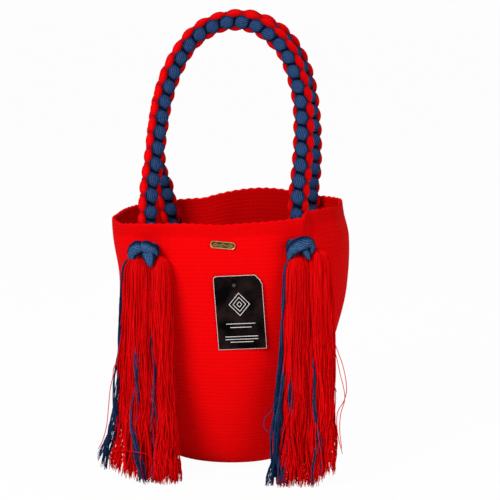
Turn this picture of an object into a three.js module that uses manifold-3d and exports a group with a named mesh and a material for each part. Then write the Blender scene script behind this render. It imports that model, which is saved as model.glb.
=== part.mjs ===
// A crocheted bucket bag with two braided handles, four knots with tassels, a label plate and a card.
// Millimetres, Z up, the front of the bag faces -Y. The bag stands on its base at Z = 0.
import * as THREE from "three";
import { mergeVertices } from "three/addons/utils/BufferGeometryUtils.js";
import Module from "manifold-3d";

const wasm = await Module();
wasm.setup();

// Driving sizes.
const CLEAR = 0.4; // gap left between neighbouring pieces
const BAG_HEIGHT = 270; // base to rim
const RIM_HALF_WIDTH = 124.5; // along X
const RIM_HALF_DEPTH = 108; // along Y
const WALL = 4.5; // thickness of the crocheted wall
const RIM_TILT = 6; // how much the rim stands higher at the right end and lower at the left end
const BACK_SWELL = 8; // how much the back rim domes up
const BRAID = 22; // diameter of a handle
const LAY = 33; // length in which a strand winds once round the handle
const LEG_OFFSET = 78; // handle leg from the middle of its handle
const HANDLE_SHIFT = 3; // middle of the handles to the right of the middle of the bag
const ARCH_HEIGHT = 195; // handle above its swing line
const ARCH_LEAN = 16; // degrees each handle leans in over the mouth
const EYELET_DROP = 27; // eyelet centre below the rim
const EYELET = 18; // diameter of an eyelet
const KNOT_WIDTH = 35;
const KNOT_HEIGHT = 25;
const KNOT_THICK = 25;
const TASSEL_WIDTH = 57; // of a tassel below its knot
const TASSEL_THICK = 18;
const TIP_HEIGHT = 2.5; // tassel ends above the floor
const PLATE_LENGTH = 26;
const PLATE_WIDTH = 8.7;
const PLATE_THICK = 1.8;
const PLATE_DROP = 21; // plate centre below the rim
const PLATE_X = 7;
const PLATE_TURN = -3.5; // degrees in its own plane
const CARD_WIDTH = 50;
const CARD_HEIGHT = 80;
const CARD_THICK = 0.6;
const CARD_DROP = 92; // card centre below the rim
const CARD_X = 22;
const CARD_TURN = 5; // degrees in its own plane

// Shapes as shares of the sizes above.
// Wall: share of the bag height, share of the rim's half sizes, and squareness of the outline.
const WALL_SHAPE = [
  [0, 0.36, 2.05],
  [0.015, 0.52, 2.05],
  [0.044, 0.63, 2.1],
  [0.104, 0.715, 2.15],
  [0.222, 0.79, 2.25],
  [0.352, 0.855, 2.35],
  [0.496, 0.908, 2.5],
  [0.685, 0.97, 2.75],
  [0.87, 1.016, 2.95],
  [1, 1, 3],
];
// Handles: share of the leg offset sideways, share of the arch height.
const FRONT_ARCH = [
  [-1, 0],
  [-0.988, 0.1],
  [-0.954, 0.225],
  [-0.914, 0.404],
  [-0.854, 0.577],
  [-0.712, 0.752],
  [-0.486, 0.901],
  [-0.23, 0.974],
  [0.05, 1],
  [0.35, 0.982],
  [0.594, 0.919],
  [0.8, 0.825],
  [0.955, 0.67],
  [1.022, 0.547],
  [1.045, 0.4],
  [1.036, 0.219],
  [1.006, 0.07],
  [1, 0],
];
const BACK_ARCH = [
  [-1, 0],
  [-1.08, 0.09],
  [-1.15, 0.19],
  [-1.178, 0.29],
  [-1.122, 0.449],
  [-1.024, 0.593],
  [-0.878, 0.73],
  [-0.65, 0.86],
  [-0.425, 0.936],
  [-0.19, 0.983],
  [0.1, 1],
  [0.331, 0.984],
  [0.515, 0.946],
  [0.668, 0.897],
  [0.82, 0.81],
  [0.935, 0.695],
  [0.999, 0.568],
  [1.035, 0.42],
  [1.045, 0.25],
  [1.03, 0.1],
  [1, 0],
];
// Tassel: share of its length from the top, share of its width, share of its thickness, outward drift in mm.
const TASSEL_SHAPE = [
  [0, 0.46, 0.62, 0],
  [0.06, 0.96, 0.94, 0],
  [0.28, 0.97, 1, 0],
  [0.62, 1, 1.04, 1],
  [0.88, 1.2, 1.1, 5],
  [1, 1.42, 0.95, 11],
];
// The four bundles of a tassel across its width: name, colour and share of the width.
const BUNDLES = [
  ["blue_1", "blue", 0.12],
  ["red_1", "red", 0.38],
  ["blue_2", "blue", 0.12],
  ["red_2", "red", 0.38],
];
// Hands: name, sign along X, degrees the eyelet turns outwards, how far the tassel hangs outwards of its knot
// at the top and at the tips, and how widely the tips spread.
const HANDS = [
  ["left", -1, 0, 1, 3.5, 1.14],
  ["right", 1, 8, 7, 0, 0.89],
];
const ROUND = 44; // facets round the bag
const SIDES = 5; // facets round a strand
const STEPS = 8; // sections in one turn of a strand

const MATERIALS = {
  red: new THREE.MeshStandardMaterial({ color: 0xd9090d, roughness: 0.95, metalness: 0 }),
  blue: new THREE.MeshStandardMaterial({ color: 0x243a68, roughness: 0.95, metalness: 0 }),
  brass: new THREE.MeshStandardMaterial({ color: 0x9a7a45, roughness: 0.38, metalness: 1 }),
  card: new THREE.MeshStandardMaterial({ color: 0x151213, roughness: 0.5, metalness: 0 }),
  plastic: new THREE.MeshStandardMaterial({ color: 0x3a3a3a, roughness: 0.35, metalness: 0 }),
};

const bag = new THREE.Group();
bag.name = "mochila_bag";

const vec = (x, y, z) => new THREE.Vector3(x, y, z);
const along = (p, d, t) => p.clone().addScaledVector(d, t);

function toSolid(geometry) {
  const g = geometry.clone();
  g.deleteAttribute("normal");
  g.deleteAttribute("uv");
  const merged = mergeVertices(g, 1e-4);
  const mesh = new wasm.Mesh({
    numProp: 3,
    vertProperties: new Float32Array(merged.attributes.position.array),
    triVerts: new Uint32Array(merged.index.array),
  });
  return new wasm.Manifold(mesh);
}

function toGeometry(solid) {
  const m = solid.getMesh();
  const g = new THREE.BufferGeometry();
  g.setAttribute("position", new THREE.BufferAttribute(new Float32Array(m.vertProperties), 3));
  g.setIndex(new THREE.BufferAttribute(new Uint32Array(m.triVerts), 1));
  g.computeVertexNormals();
  return g;
}

function add(name, solid, material) {
  const mesh = new THREE.Mesh(toGeometry(solid), MATERIALS[material]);
  mesh.name = name;
  bag.add(mesh);
}

// A closed body through a row of rings that have the same number of points.
function loft(rings) {
  const n = rings[0].length;
  const points = rings.flat();
  const index = [];
  for (let i = 0; i + 1 < rings.length; i++) {
    for (let j = 0; j < n; j++) {
      const a = i * n + j;
      const b = i * n + ((j + 1) % n);
      index.push(a, b, b + n, a, b + n, a + n);
    }
  }
  for (const [i, flip] of [[0, true], [rings.length - 1, false]]) {
    const centre = rings[i].reduce((s, p) => s.add(p), vec(0, 0, 0)).divideScalar(n);
    const c = points.push(centre) - 1;
    for (let j = 0; j < n; j++) {
      const a = i * n + j;
      const b = i * n + ((j + 1) % n);
      index.push(...(flip ? [c, b, a] : [c, a, b]));
    }
  }
  const g = new THREE.BufferGeometry().setFromPoints(points);
  g.setIndex(index);
  const solid = toSolid(g);
  if (solid.volume() > 0) return solid;
  for (let k = 0; k < index.length; k += 3) [index[k], index[k + 1]] = [index[k + 1], index[k]];
  g.setIndex(index);
  return toSolid(g);
}

// A round ring about a centre, square to a direction.
function ringAt(centre, direction, radius, count) {
  const d = direction.clone().normalize();
  const help = Math.abs(d.z) > 0.9 ? vec(1, 0, 0) : vec(0, 0, 1);
  const a = help.clone().cross(d).normalize();
  const b = d.clone().cross(a);
  return Array.from({ length: count }, (_, i) => {
    const t = (2 * Math.PI * i) / count;
    return along(along(centre, a, radius * Math.cos(t)), b, radius * Math.sin(t));
  });
}

function rod(from, to, radius, count = 12) {
  const d = to.clone().sub(from);
  return loft([ringAt(from, d, radius, count), ringAt(to, d, radius, count)]);
}

// A tube through points, each with its own radius.
function tube(points, radii, count = 6) {
  const rings = points.map((p, i) => {
    const before = points[Math.max(i - 1, 0)];
    const after = points[Math.min(i + 1, points.length - 1)];
    return ringAt(p, after.clone().sub(before), radii[i], count);
  });
  return loft(rings);
}

// A box in a frame of its own: centre, three axes and the three full sizes.
function block(centre, [u, v, w], [su, sv, sw]) {
  const m = new THREE.Matrix4().makeBasis(u, v, w).setPosition(centre);
  return toSolid(new THREE.BoxGeometry(su, sv, sw).applyMatrix4(m));
}

// A flat plate from an outline in a frame of its own.
function plate(outline, centre, [u, v, w], low, high) {
  const ring = (h) => outline.map(([a, b]) => along(along(along(centre, u, a), v, b), w, h));
  return loft([ring(low), ring(high)]);
}

// Outline of the wall at a height share, and the points and directions that hang on it.
function wallShares(share) {
  let i = 0;
  while (i + 2 < WALL_SHAPE.length && WALL_SHAPE[i + 1][0] < share) i++;
  const [lo, hi] = [WALL_SHAPE[i], WALL_SHAPE[i + 1]];
  const t = (share - lo[0]) / (hi[0] - lo[0]);
  return [lo[1] + t * (hi[1] - lo[1]), lo[2] + t * (hi[2] - lo[2])];
}

function outlinePoint(angle, halfWidth, halfDepth, square) {
  const c = Math.cos(angle);
  const s = Math.sin(angle);
  const x = halfWidth * Math.sign(c) * Math.abs(c) ** (2 / square);
  const y = halfDepth * Math.sign(s) * Math.abs(s) ** (2 / square);
  return [x, y];
}

// The rim is not level: it rises to the right and domes up at the back. The wall below follows less and less.
function lift(x, y, share) {
  const back = Math.max(y, 0) / RIM_HALF_DEPTH;
  const aside = (x / RIM_HALF_WIDTH - 0.16) / 0.5;
  const dome = BACK_SWELL * back * back * Math.max(1 - aside * aside, 0);
  return (RIM_TILT * x * share ** 2) / RIM_HALF_WIDTH + dome * share ** 4;
}

// A point of the wall, measured inwards from its outer face.
function wallPoint(angle, share, inward = 0) {
  const [size, square] = wallShares(share);
  const halfWidth = RIM_HALF_WIDTH * size - inward;
  const halfDepth = RIM_HALF_DEPTH * size - inward;
  const [x, y] = outlinePoint(angle, halfWidth, halfDepth, square);
  return vec(x, y, BAG_HEIGHT * share + lift(x, y, share));
}

// Level direction pointing out of the wall.
function wallOut(angle, share) {
  const p = wallPoint(angle - 0.01, share);
  const q = wallPoint(angle + 0.01, share);
  const n = vec(q.y - p.y, p.x - q.x, 0).normalize();
  const here = wallPoint(angle, share);
  return n.x * here.x + n.y * here.y > 0 ? n : n.negate();
}

// Direction up the slope of the wall.
function wallUp(angle, share, span) {
  return wallPoint(angle, share + span).sub(wallPoint(angle, share - span)).normalize();
}

// Angle at which the outer face crosses a sideways place, on the front (-1) or back (1).
function angleAt(x, share, side) {
  const [size, square] = wallShares(share);
  const c = Math.sign(x) * Math.abs(x / (RIM_HALF_WIDTH * size)) ** (square / 2);
  return side * Math.acos(THREE.MathUtils.clamp(c, -1, 1));
}

// Bag body: one crocheted shell from the base to the rim.
const innerRow = WALL_SHAPE.map(([share, size], i) => {
  const from = WALL_SHAPE[Math.max(i - 1, 0)];
  const to = WALL_SHAPE[Math.min(i + 1, WALL_SHAPE.length - 1)];
  const rise = (to[0] - from[0]) * BAG_HEIGHT;
  const run = (to[1] - from[1]) * RIM_HALF_WIDTH;
  const length = Math.hypot(rise, run);
  if (i === 0) return { share: WALL / BAG_HEIGHT, inward: 0, size };
  if (i === WALL_SHAPE.length - 1) return { share, inward: WALL, size };
  const raised = share + (WALL * run) / length / BAG_HEIGHT;
  return { share: Math.max(raised, WALL / BAG_HEIGHT + 0.002), inward: (WALL * rise) / length, size };
});

function bodyRing(heightShare, size, square, inward) {
  return Array.from({ length: ROUND }, (_, j) => {
    const angle = (2 * Math.PI * j) / ROUND;
    const halfWidth = RIM_HALF_WIDTH * size - inward;
    const halfDepth = RIM_HALF_DEPTH * size - inward;
    const [x, y] = outlinePoint(angle, halfWidth, halfDepth, square);
    return vec(x, y, BAG_HEIGHT * heightShare + lift(x, y, heightShare));
  });
}

const outerRings = WALL_SHAPE.map(([share, size, square]) => bodyRing(share, size, square, 0));
const innerRings = innerRow.map((r, i) => bodyRing(r.share, r.size, WALL_SHAPE[i][2], r.inward));
let body = loft([...outerRings, ...innerRings.reverse()]);

// Handles, knots and tassels, one set for each of the four eyelets.
const legRadius = BRAID / 2;
const eyeletShare = 1 - EYELET_DROP / BAG_HEIGHT;
const rimTop = BAG_HEIGHT + lift(LEG_OFFSET + HANDLE_SHIFT + BRAID, 0, 1);
const swingHeight = rimTop + legRadius + CLEAR;
const endReach = legRadius; // the handle ends are rounded about the swing line to this radius
const legTop = swingHeight - endReach - CLEAR;
const legGap = legRadius + 4 * CLEAR;

// The leg stands against the inner face of the wall: its middle at a height share.
function legPoint(angle, share) {
  return along(wallPoint(angle, share, WALL), wallOut(angle, share), -legGap);
}

const legX = (hand) => HANDLE_SHIFT + hand * LEG_OFFSET;

// Wall angle at which a leg stands at its sideways place when it passes the rim.
function legAngle(side, hand) {
  let [near, far] = [0.3 * LEG_OFFSET, RIM_HALF_WIDTH * 0.98];
  for (let i = 0; i < 50; i++) {
    const middle = (near + far) / 2;
    const x = Math.abs(legPoint(angleAt(hand * middle, 1, side), 1).x);
    if (x < Math.abs(legX(hand))) near = middle;
    else far = middle;
  }
  return angleAt(hand * near, 1, side);
}

const swingDepth = Math.min(...[-1, 1].map((hand) => Math.abs(legPoint(legAngle(-1, hand), 1).y)));

// How far the outer face stands from the middle of the bag, front to back, at a sideways place.
function wallDepth(x, share) {
  return Math.abs(wallPoint(angleAt(x, share, -1), share).y);
}

// Where a level line from inside the bag comes out of the wall.
function wayOut(from, direction, share) {
  let [near, far] = [0, RIM_HALF_DEPTH];
  for (let i = 0; i < 50; i++) {
    const middle = (near + far) / 2;
    const p = along(from, direction, middle);
    if (Math.abs(p.y) < wallDepth(p.x, share)) near = middle;
    else far = middle;
  }
  return along(from, direction, near);
}

// Reach of a knot in front of its eyelet at which the tassel below it hangs clear of the wall.
function knotReach(face, out, across, shift) {
  const shoulder = eyeletShare - (KNOT_HEIGHT * 0.41) / BAG_HEIGHT - 0.05;
  let reach = KNOT_THICK / 2 + CLEAR;
  for (let k = -8; k <= 8; k++) {
    const p = along(face, across, (k / 16) * TASSEL_WIDTH + shift);
    const rear = TASSEL_THICK * 0.52 * Math.min(1, 1.8 - 2.6 * Math.abs(k / 16));
    const gap = (wallDepth(p.x, shoulder) - Math.abs(p.y)) / Math.abs(out.y);
    reach = Math.max(reach, gap + rear + CLEAR);
  }
  return reach;
}

for (const [sideName, side] of [["front", -1], ["back", 1]]) {
  for (const [handName, hand, turn, aside, tipAside, spread] of HANDS) {
    const name = sideName + "_" + handName;
    const turned = THREE.MathUtils.degToRad(turn);
    const out = vec(hand * Math.sin(turned), side * Math.cos(turned), 0);
    const across = vec(-out.y, out.x, 0);
    const up = vec(0, 0, 1);
    const elbow = legPoint(legAngle(side, hand), eyeletShare);
    const face = wayOut(elbow, out, eyeletShare);
    const outwards = -side * hand; // sign of the outward way along the knot
    const reach = knotReach(face, out, across, outwards * aside);
    body = body.subtract(rod(elbow, along(face, out, EYELET), EYELET / 2, 16));

    // Neck: the four strands gathered through the eyelet and up the inner face to the rim.
    const knotBack = reach - KNOT_THICK * 0.5 - CLEAR;
    const head = vec(legX(hand), side * swingDepth, legTop + legRadius);
    const inEyelet = rod(elbow, along(face, out, knotBack), EYELET / 2 - 2 * CLEAR, 10);
    const bend = toSolid(new THREE.SphereGeometry(legRadius, 10, 6).translate(...elbow));
    const stand = rod(elbow, head, legRadius, 10);
    const below = block(vec(0, 0, legTop / 2), [vec(1, 0, 0), vec(0, 1, 0), up], [900, 900, legTop]);
    add(name + "_neck", inEyelet.add(bend).add(stand).intersect(below), "red");

    // Knot: a lump of strands with one wrap over it and a tail.
    const middle = along(face, out, reach);
    const at = (u, n, v) => {
      const p = along(middle, across, u * KNOT_WIDTH);
      return along(along(p, out, n * KNOT_THICK), up, v * KNOT_HEIGHT);
    };
    const core = new THREE.SphereGeometry(0.5, 12, 8);
    core.applyMatrix4(new THREE.Matrix4().makeScale(KNOT_WIDTH * 0.86, KNOT_HEIGHT * 0.82, KNOT_THICK));
    core.applyMatrix4(new THREE.Matrix4().makeBasis(across, up, out.clone()).setPosition(middle));
    const wrap = tube(
      [at(-0.36, 0.16, -0.24), at(-0.34, 0.22, 0.06), at(-0.16, 0.26, 0.27), at(0.1, 0.26, 0.27), at(0.34, 0.18, 0.08)],
      [3.6, 5, 5.6, 5.4, 4.2],
    );
    const tail = tube(
      [at(0.2, 0.24, 0.32), at(0.26, 0.3, 0.02), at(0.22, 0.3, -0.3)],
      [3.4, 4.4, 2.2],
    );
    add(name + "_knot", toSolid(core).add(wrap).add(tail), "blue");

    // Tassel: four bundles of yarn side by side, hanging clear of the wall.
    const top = middle.z - KNOT_HEIGHT * 0.41 - CLEAR;
    let from = -0.5;
    for (const [bundle, colour, share] of BUNDLES) {
      const to = from + share;
      const rings = TASSEL_SHAPE.map(([down, wide, thick, drift]) => {
        const z = top + down * (TIP_HEIGHT - top);
        const width = TASSEL_WIDTH * wide * (1 + (spread - 1) * down * down);
        const shift = outwards * (aside + (tipAside - aside) * down);
        const left = from * width + CLEAR / 2;
        const right = to * width - CLEAR / 2;
        const deep = (TASSEL_THICK / 2) * thick * (colour === "red" ? 1 : 0.82);
        return Array.from({ length: 6 }, (_, k) => {
          const t = (2 * Math.PI * (k + 0.5)) / 6;
          const u = (left + right) / 2 + ((right - left) / 2) * (Math.cos(t) / Math.cos(Math.PI / 6));
          const n = drift + deep * Math.sin(t);
          const p = along(along(middle, across, u + shift), out, n);
          return vec(p.x, p.y, z);
        });
      });
      add(name + "_tassel_" + bundle, loft(rings), colour);
      from = to;
    }
  }
}

// Handles: four strands each, two winding one way and two the other, each over one and under one.
const meet = Math.asin((swingDepth - 0.6 * BRAID) / ARCH_HEIGHT); // lean at which the handles would touch
const lean = Math.min(THREE.MathUtils.degToRad(ARCH_LEAN), meet);
const lead = endReach + 4; // strands run on past the swing line before they are rounded off

// The middle line of a handle in its own plane, and what the braid on it works out to.
function handleArch(shape) {
  const line = new THREE.CatmullRomCurve3(shape.map(([u, v]) => vec(u * LEG_OFFSET, v * ARCH_HEIGHT, 0)));
  line.arcLengthDivisions = 2000;
  const length = line.getLength();
  const turns = Math.round(length / LAY);
  const slope = Math.atan((2 * Math.PI * 0.26 * BRAID * turns) / length);
  const strandRoom = (length / turns / 4) * Math.cos(slope); // width left for a strand in the braid
  return { line, length, turns, strandRoom };
}

// Place and directions on the handle's middle line at a distance from its first end.
function archFrame(arch, distance) {
  const t = Math.min(Math.max(distance / arch.length, 0), 1);
  const p = arch.line.getPointAt(t);
  const d = arch.line.getTangentAt(t);
  p.addScaledVector(d, distance - t * arch.length);
  return { p, outer: vec(-d.y, d.x, 0) };
}

function strandPoint(arch, distance, phase, hand) {
  const { p, outer } = archFrame(arch, distance);
  const turn = (2 * Math.PI * arch.turns * distance) / arch.length;
  const azimuth = hand * turn + phase;
  const over = hand * Math.cos(2 * azimuth);
  const radius = BRAID * (0.26 + 0.16 * over);
  const radial = outer.clone().multiplyScalar(Math.cos(azimuth));
  radial.addScaledVector(vec(0, 0, 1), Math.sin(azimuth));
  return { centre: along(p, radial, radius), radial, crossing: Math.abs(Math.cos(2 * turn)) };
}

function strand(arch, phase, hand) {
  const first = -Math.ceil((lead / arch.length) * arch.turns * STEPS);
  const last = arch.turns * STEPS - first;
  const spacing = arch.length / (arch.turns * STEPS);
  const rings = [];
  for (let i = first; i <= last; i++) {
    const here = strandPoint(arch, i * spacing, phase, hand);
    const before = strandPoint(arch, (i - 0.3) * spacing, phase, hand).centre;
    const after = strandPoint(arch, (i + 0.3) * spacing, phase, hand).centre;
    const run = after.sub(before).normalize();
    const wide = run.clone().cross(here.radial).normalize();
    const deep = wide.clone().cross(run);
    const halfWide = arch.strandRoom * (0.55 - 0.02 * here.crossing) - CLEAR / 8;
    const halfDeep = BRAID * (0.11 - 0.015 * here.crossing);
    rings.push(
      Array.from({ length: SIDES }, (_, k) => {
        const t = (2 * Math.PI * k) / SIDES;
        return along(along(here.centre, wide, halfWide * Math.cos(t)), deep, halfDeep * Math.sin(t));
      }),
    );
  }
  return rings;
}

// Ends of the handle: everything above the swing line, rounded off about it.
const above = toSolid(new THREE.BoxGeometry(900, 900, 200).translate(0, 450, 0));
const round = toSolid(new THREE.CylinderGeometry(endReach, endReach, 900, 32).rotateZ(Math.PI / 2));
const endShape = above.add(round);

for (const [sideName, side, shape] of [["front", -1, FRONT_ARCH], ["back", 1, BACK_ARCH]]) {
  const arch = handleArch(shape);
  const inPlace = new THREE.Matrix4().makeBasis(
    vec(1, 0, 0),
    vec(0, -side * Math.sin(lean), Math.cos(lean)),
    vec(0, -Math.cos(lean), -side * Math.sin(lean)),
  );
  inPlace.setPosition(HANDLE_SHIFT, side * swingDepth, swingHeight);
  for (const [strandName, colour, phase, hand] of [
    ["red_1", "red", 0, 1],
    ["red_2", "red", Math.PI, 1],
    ["blue_1", "blue", 0, -1],
    ["blue_2", "blue", Math.PI, -1],
  ]) {
    const whole = loft(strand(arch, phase, hand)).intersect(endShape);
    const kept = whole.decompose().sort((a, b) => b.volume() - a.volume())[0];
    const placed = toSolid(toGeometry(kept).applyMatrix4(inPlace));
    add(sideName + "_handle_" + strandName, placed, colour);
  }
}

// Label plate: a bare plate with a raised border, held by two prongs folded over inside the wall.
function wallFrame(x, drop, turn) {
  const share = 1 - drop / BAG_HEIGHT;
  const angle = angleAt(x, share, -1);
  const level = wallOut(angle, share);
  const up = wallUp(angle, share, 0.02);
  const right = up.clone().cross(level).normalize();
  const out = right.clone().cross(up).normalize();
  const t = THREE.MathUtils.degToRad(turn);
  const u = right.clone().multiplyScalar(Math.cos(t)).addScaledVector(up, Math.sin(t));
  return { face: wallPoint(angle, share), axes: [u, out.clone().cross(u), out] };
}

function clipped(width, height, clip) {
  const [a, b] = [width / 2, height / 2];
  return [
    [a - clip, -b], [a, -b + clip], [a, b - clip], [a - clip, b],
    [-a + clip, b], [-a, b - clip], [-a, -b + clip], [-a + clip, -b],
  ];
}

const label = wallFrame(PLATE_X, PLATE_DROP, PLATE_TURN);
const border = 1.1;
const prong = 1.2;
let labelPlate = plate(clipped(PLATE_LENGTH, PLATE_WIDTH, 2.6), label.face, label.axes, CLEAR, CLEAR + PLATE_THICK);
const field = clipped(PLATE_LENGTH - 2 * border, PLATE_WIDTH - 2 * border, 2.2);
labelPlate = labelPlate.subtract(
  plate(field, label.face, label.axes, CLEAR + PLATE_THICK * 0.65, CLEAR + 2 * PLATE_THICK),
);
for (const hand of [-1, 1]) {
  const foot = along(label.face, label.axes[0], hand * PLATE_LENGTH * 0.3);
  const inside = -WALL - 2 * CLEAR;
  const stem = block(
    along(foot, label.axes[2], (inside - prong + CLEAR + 0.4) / 2),
    label.axes,
    [prong, prong * 2, CLEAR + 0.4 - inside + prong],
  );
  const fold = block(
    along(along(foot, label.axes[0], -hand * 1.6), label.axes[2], inside - prong / 2),
    label.axes,
    [prong + 3.2, prong * 2, prong],
  );
  labelPlate = labelPlate.add(stem).add(fold);
  body = body.subtract(
    block(along(foot, label.axes[2], -WALL / 2), label.axes, [prong + 2 * CLEAR, 2 * (prong + CLEAR), 4 * WALL]),
  );
}
add("label_plate", labelPlate, "brass");

// Card: a bare card with one clipped corner, held by a plastic pin through card and wall.
const card = wallFrame(CARD_X, CARD_DROP, CARD_TURN);
const pinRadius = 0.8;
const cardLow = 1.5 * CLEAR;
const [cw, ch] = [CARD_WIDTH / 2, CARD_HEIGHT / 2];
const cardOutline = [
  [-cw, -ch], [cw, -ch], [cw, ch - 10], [cw - 7, ch], [-cw + 3, ch], [-cw + 0.9, ch - 0.9], [-cw, ch - 3],
];
const pinFoot = along(along(card.face, card.axes[0], -CARD_WIDTH * 0.08), card.axes[1], ch - 10);
const pinHole = rod(along(pinFoot, card.axes[2], -6 * WALL), along(pinFoot, card.axes[2], 4 * WALL), pinRadius + CLEAR, 10);
add("hang_tag", plate(cardOutline, card.face, card.axes, cardLow, cardLow + CARD_THICK).subtract(pinHole), "card");
body = body.subtract(pinHole);
const pinHead = cardLow + CARD_THICK + CLEAR;
const pinBack = -WALL - 6 * CLEAR;
const shaft = rod(along(pinFoot, card.axes[2], pinBack), along(pinFoot, card.axes[2], pinHead + 0.5), pinRadius, 8);
const cap = rod(along(pinFoot, card.axes[2], pinHead), along(pinFoot, card.axes[2], pinHead + 0.9), 1.9, 12);
const bar = block(along(pinFoot, card.axes[2], pinBack), card.axes, [9, 2 * pinRadius, 2 * pinRadius]);
add("tag_pin", shaft.add(cap).add(bar), "plastic");

add("bag_body", body, "red");

export default bag;
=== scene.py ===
"""Looks of the crocheted bucket bag: crochet wall, braided handles, knots, yarn tassels, plate and card."""

import math

import bpy
import numpy as np
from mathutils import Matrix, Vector


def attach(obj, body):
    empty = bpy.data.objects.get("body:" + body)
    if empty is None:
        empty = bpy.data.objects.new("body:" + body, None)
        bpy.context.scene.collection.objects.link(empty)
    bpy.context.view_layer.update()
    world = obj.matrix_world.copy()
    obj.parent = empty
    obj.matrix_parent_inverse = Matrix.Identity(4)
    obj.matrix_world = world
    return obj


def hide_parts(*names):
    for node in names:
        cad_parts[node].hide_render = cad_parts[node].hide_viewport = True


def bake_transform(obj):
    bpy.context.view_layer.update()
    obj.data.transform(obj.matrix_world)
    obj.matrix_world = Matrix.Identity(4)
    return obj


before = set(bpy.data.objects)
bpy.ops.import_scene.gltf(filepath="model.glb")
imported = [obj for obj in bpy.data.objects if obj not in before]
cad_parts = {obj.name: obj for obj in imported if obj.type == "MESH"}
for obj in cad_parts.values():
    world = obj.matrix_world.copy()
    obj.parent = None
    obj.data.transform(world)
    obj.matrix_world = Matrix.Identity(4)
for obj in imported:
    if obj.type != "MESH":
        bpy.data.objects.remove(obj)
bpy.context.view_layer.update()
rng = np.random.default_rng(7)

# Sizes repeated from the part, in millimetres and degrees.
CLEAR = 0.4
BAG_HEIGHT = 270.0
RIM_HALF_WIDTH = 124.5
RIM_HALF_DEPTH = 108.0
WALL = 4.5
RIM_TILT = 6.0
BACK_SWELL = 8.0
BRAID = 22.0
LAY = 33.0
LEG_OFFSET = 78.0
HANDLE_SHIFT = 3.0
ARCH_HEIGHT = 195.0
ARCH_LEAN = math.radians(16)
EYELET_DROP = 27.0
KNOT_HEIGHT = 25.0
KNOT_THICK = 25.0
TASSEL_WIDTH = 57.0
TASSEL_THICK = 18.0
SWING_DEPTH = 77.089
SWING_HEIGHT = 286.364
PLATE_LENGTH, PLATE_WIDTH, PLATE_THICK = 26.0, 8.7, 1.8
PLATE_DROP, PLATE_X, PLATE_TURN = 21.0, 7.0, -3.5
CARD_WIDTH, CARD_HEIGHT, CARD_THICK = 50.0, 80.0, 0.6
CARD_DROP, CARD_X, CARD_TURN = 92.0, 22.0, 5.0
SIDES = {"front": -1, "back": 1}
# Hands: sign along X, degrees the eyelet turns outwards, how far the tassel hangs outwards at the top.
HANDS = {"left": (-1, 0, 1), "right": (1, 8, 7)}
EYELET_SHARE = 1 - EYELET_DROP / BAG_HEIGHT

# Rounds of the wall: share of the height, share of the rim's half sizes, and how square the round is.
WALL_SHAPE = np.array([
    [0, 0.36, 2.05], [0.015, 0.52, 2.05], [0.044, 0.63, 2.1], [0.104, 0.715, 2.15], [0.222, 0.79, 2.25],
    [0.352, 0.855, 2.35], [0.496, 0.908, 2.5], [0.685, 0.97, 2.75], [0.87, 1.016, 2.95], [1, 1, 3],
])  # fmt: skip
# Middle lines of the arches: across in shares of the leg offset, and up in shares of the arch height.
ARCHES = {
    "front": [
        [-1, 0], [-0.988, 0.1], [-0.954, 0.225], [-0.914, 0.404], [-0.854, 0.577], [-0.712, 0.752],
        [-0.486, 0.901], [-0.23, 0.974], [0.05, 1], [0.35, 0.982], [0.594, 0.919], [0.8, 0.825],
        [0.955, 0.67], [1.022, 0.547], [1.045, 0.4], [1.036, 0.219], [1.006, 0.07], [1, 0],
    ],
    "back": [
        [-1, 0], [-1.08, 0.09], [-1.15, 0.19], [-1.178, 0.29], [-1.122, 0.449], [-1.024, 0.593],
        [-0.878, 0.73], [-0.65, 0.86], [-0.425, 0.936], [-0.19, 0.983], [0.1, 1], [0.331, 0.984],
        [0.515, 0.946], [0.668, 0.897], [0.82, 0.81], [0.935, 0.695], [0.999, 0.568], [1.035, 0.42],
        [1.045, 0.25], [1.03, 0.1], [1, 0],
    ],
}  # fmt: skip


# Numbers and curves.
SPAN_STEPS = 40  # points worked out between two given points of a curve
HALVINGS = 50  # steps of a search between two places


def smooth(x, low, high):
    t = np.clip((np.asarray(x, float) - low) / (high - low), 0, 1)
    return t * t * (3 - 2 * t)


def bell(x, width):
    return np.exp(-((np.asarray(x, float) / width) ** 2))


def unit(v):
    return v / np.linalg.norm(v, axis=-1, keepdims=True)


def monotone(xs, ys):
    """A smooth function through the points that doesn't overshoot them."""
    xs, ys = np.asarray(xs, float), np.asarray(ys, float)
    step = np.diff(xs)
    slope = np.diff(ys) / step
    m = np.concatenate([slope[:1], np.zeros(len(xs) - 2), slope[-1:]])
    for i in range(1, len(xs) - 1):
        if slope[i - 1] * slope[i] > 0:
            w1, w2 = 2 * step[i] + step[i - 1], step[i] + 2 * step[i - 1]
            m[i] = (w1 + w2) / (w1 / slope[i - 1] + w2 / slope[i])

    def value(x):
        x = np.clip(np.asarray(x, float), xs[0], xs[-1])
        i = np.clip(np.searchsorted(xs, x) - 1, 0, len(step) - 1)
        t, h = (x - xs[i]) / step[i], step[i]
        ends = ys[i] * (2 * t**3 - 3 * t**2 + 1) + ys[i + 1] * (3 * t**2 - 2 * t**3)
        return ends + h * (m[i] * (t**3 - 2 * t**2 + t) + m[i + 1] * (t**3 - t**2))

    return value


def lengths(line):
    return np.concatenate([[0], np.cumsum(np.linalg.norm(np.diff(line, axis=0), axis=1))])


def mixed(t, first, last, a, b):
    """a where t is first, b where it is last, and what lies between for the rest."""
    return ((last - t) * a + (t - first) * b) / (last - first)


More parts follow.
